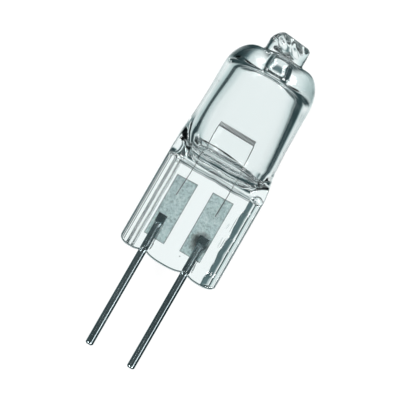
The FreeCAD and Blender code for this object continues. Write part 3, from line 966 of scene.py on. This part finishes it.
# (angle from straight behind the object in degrees, tone) towards each side of the object
LEFT_CARD = (
    (0, LIGHT),
    (13, LIGHT),
    (21, (0.78, 0.88, 0.88)),
    (26, (0.72, 0.83, 0.83)),
    (34, (0.55, 0.67, 0.67)),
    (41, (0.45, 0.57, 0.57)),
    (46, DARK),
    (80, DARK),
    (88, (0.34, 0.45, 0.45)),
)
RIGHT_CARD = (
    (0, LIGHT),
    (13, LIGHT),
    (20, (0.82, 0.9, 0.9)),
    (26, (0.62, 0.73, 0.73)),
    (31, DEEP_GREY),
    (36, DARK),
    (86, DARK),
)
TIP_CARD = (
    (0, LIGHT),
    (6, LIGHT),
    (11, (0.7, 0.8, 0.8)),
    (15, (0.16, 0.24, 0.25)),
    (19, DARK),
    (46, DARK),
    (51, PALE_GREY),
    (68, PALE_GREY),
    (76, DARK),
)
PIN_CARD = (
    (0, LIGHT),
    (6, LIGHT),
    (10, (0.6, 0.7, 0.7)),
    (13, DEEP_GREY),
    (16, DEEP_GREY),
    (20, PALE),
    (37, PALE),
    (42, DARK),
    (68, DARK),
    (73, LIGHT),
    (83, LIGHT),
    (88, DARK),
)
ROOM = ((97, ROOM_LOW), (125, ROOM_HIGH), (180, ROOM_HIGH))
# how the cards at the sides and at the ends run into each other
SIDE_EDGE = 0.6
SIDE_SHARP = 4.0
END_SHARP = 1.5
OFF_FACE = math.radians(1.0)  # the camera leans this much off the pinch's face
VIEW_PITCH = TILT - OFF_FACE


def background(nodes, strength, colour):
    """One shade of the world, its colour given or linked."""
    shade = nodes.add("ShaderNodeBackground")
    shade.inputs[1].default_value = strength
    if isinstance(colour, tuple):
        shade.inputs[0].default_value = colour
    else:
        nodes.link(colour, shade.inputs[0])
    return shade.outputs[0]


def build_world():
    """Plain white all round for the camera. Glass and metal see the studio: a bright
    field behind the object with darker cards at some angles round it."""
    world = bpy.data.worlds.new("studio")
    world.use_nodes = True
    bpy.context.scene.world = world
    nodes = Nodes(world.node_tree)
    out = nodes.add("ShaderNodeOutputWorld")
    path = nodes.add("ShaderNodeLightPath")
    way = nodes.add("ShaderNodeTexCoord").outputs["Generated"]
    split = nodes.add("ShaderNodeSeparateXYZ")
    nodes.link(way, split.inputs[0])
    down = nodes.dot(way, (0.0, math.sin(VIEW_PITCH), -math.cos(VIEW_PITCH)))
    share = nodes.math("DIVIDE", nodes.math("ARCCOSINE", down), math.pi)

    def card(stops):
        return nodes.ramp(share, [(angle / 180, tone) for angle, tone in stops + ROOM])

    flat = nodes.math("SUBTRACT", 1.0001, nodes.math("MULTIPLY", down, down))
    flat = nodes.math("SQRT", flat)
    side = nodes.math("DIVIDE", split.outputs["X"], flat)
    end = nodes.dot(way, (0.0, math.cos(VIEW_PITCH), math.sin(VIEW_PITCH)))
    end = nodes.math("DIVIDE", end, flat)
    end = nodes.math("ADD", nodes.math("MULTIPLY", end, END_SHARP), 0.5, clamp=True)
    to_right = nodes.math("ADD", side, -SIDE_EDGE)
    to_right = nodes.math("MULTIPLY", to_right, SIDE_SHARP, clamp=True)
    to_left = nodes.math("ADD", side, SIDE_EDGE)
    to_left = nodes.math("MULTIPLY", to_left, -SIDE_SHARP, clamp=True)
    cards = nodes.mix(end, card(PIN_CARD), card(TIP_CARD))
    cards = nodes.mix(to_right, cards, card(RIGHT_CARD))
    cards = nodes.mix(to_left, cards, card(LEFT_CARD))
    field = background(nodes, 1.0, cards)
    plain = background(nodes, 1.05, (0.98, 0.99, 1.0, 1))
    white = background(nodes, 1.0, (1, 1, 1, 1))
    mixed = nodes.mix_shader(nodes.bent(path), plain, field)
    final = nodes.mix_shader(path.outputs["Is Camera Ray"], mixed, white)
    nodes.link(final, out.inputs[0])


def add_lamp(name, width, length, watts, place, turn):
    light = bpy.data.lights.new(name, "AREA")
    light.shape = "RECTANGLE"
    light.size = width
    light.size_y = length
    light.energy = watts
    lamp = bpy.data.objects.new(name, light)
    lamp.location = place
    lamp.rotation_euler = turn
    bpy.context.scene.collection.objects.link(lamp)


def strip_light(name, degrees, place_y, width, length, watts):
    """A long narrow lamp beside the bulb, turned by an angle from overhead about +Y."""
    reach = 0.3
    angle = math.radians(degrees)
    place = (reach * math.sin(angle), place_y, reach * math.cos(angle))
    add_lamp(name, width, length, watts, place, (0, angle, 0))


def corner_light(name, side, watts):
    """A soft lamp beyond one corner at the pins' end. It lights the foils, and the round
    sides of bulb and pins don't mirror it."""
    reach = 0.35
    width = 0.12
    low = math.radians(52)
    aside = math.radians(50) * side
    away = Vector(
        (math.sin(low) * math.sin(aside), -math.sin(low) * math.cos(aside), math.cos(low))
    )
    turn = away.to_track_quat("Z", "Y").to_euler()
    add_lamp(name, width, width, watts, away * reach, turn)


# Camera
PIXELS_PER_MM = 11.95
IMAGE = 400
MIDDLE_PIXEL = (201.4, 196.4)  # where the middle of the bulb's length lies in the photo
LEAN = math.radians(30.0)
DISTANCE = 0.6
SENSOR = 36.0


def add_camera():
    """Looks down on the pinch's face from ten degrees towards the pins' end, with the bulb's
    axis leaning to the right in the picture."""
    back = Vector((0, -math.sin(VIEW_PITCH), math.cos(VIEW_PITCH)))
    axis = Vector((0, math.cos(VIEW_PITCH), math.sin(VIEW_PITCH)))
    across = Vector((1, 0, 0))
    up = axis * math.cos(LEAN) - across * math.sin(LEAN)
    right = axis * math.sin(LEAN) + across * math.cos(LEAN)
    pixel = 0.001 / PIXELS_PER_MM
    to_right = MIDDLE_PIXEL[0] - IMAGE / 2
    to_top = IMAGE / 2 - MIDDLE_PIXEL[1]
    middle = Vector(lay([(0.0, 0.0, STUB_TOP / 2)])[0])
    target = middle - right * to_right * pixel - up * to_top * pixel
    camera = bpy.data.objects.new("camera", bpy.data.cameras.new("camera"))
    turn = Matrix((right, up, back)).transposed().to_4x4()
    camera.matrix_world = Matrix.Translation(target + back * DISTANCE) @ turn
    camera.data.sensor_width = SENSOR
    camera.data.lens = SENSOR * DISTANCE / (IMAGE * pixel)
    camera.data.clip_start = 0.01
    camera.data.clip_end = 10.0
    bpy.context.scene.collection.objects.link(camera)
    bpy.context.scene.camera = camera


# The scene
glass = build_glass()
left_pin = build_pin("left_pin", -PIN_SPACING / 2, 0.4, 12.58)
right_pin = build_pin("right_pin", PIN_SPACING / 2, 0.46, 12.62)
filament = build_filament()
left_foil = build_foil("left_foil", -2.67, -0.72, 10.44, 16.12, slant=0.06, shift=0.4)
right_foil = build_foil("right_foil", 0.68, 2.66, 10.56, 16.24, slant=0.03, shift=2.1)
take_place(glass, "envelope")
take_place(left_pin, "left_pin")
take_place(right_pin, "right_pin")
take_place(filament, "filament")
take_place(left_foil, "left_foil")
take_place(right_foil, "right_foil")

add_floor()
build_world()
strip_light("strip_pins", 51, -0.197, 0.09, 0.3, 0.24)
strip_light("strip_right", 56, 0.1, 0.03, 0.2, 0.012)
corner_light("lamp_left", -1, 0.8)
corner_light("lamp_right", 1, 0.8)
add_camera()
bpy.context.scene.view_settings.view_transform = "Standard"
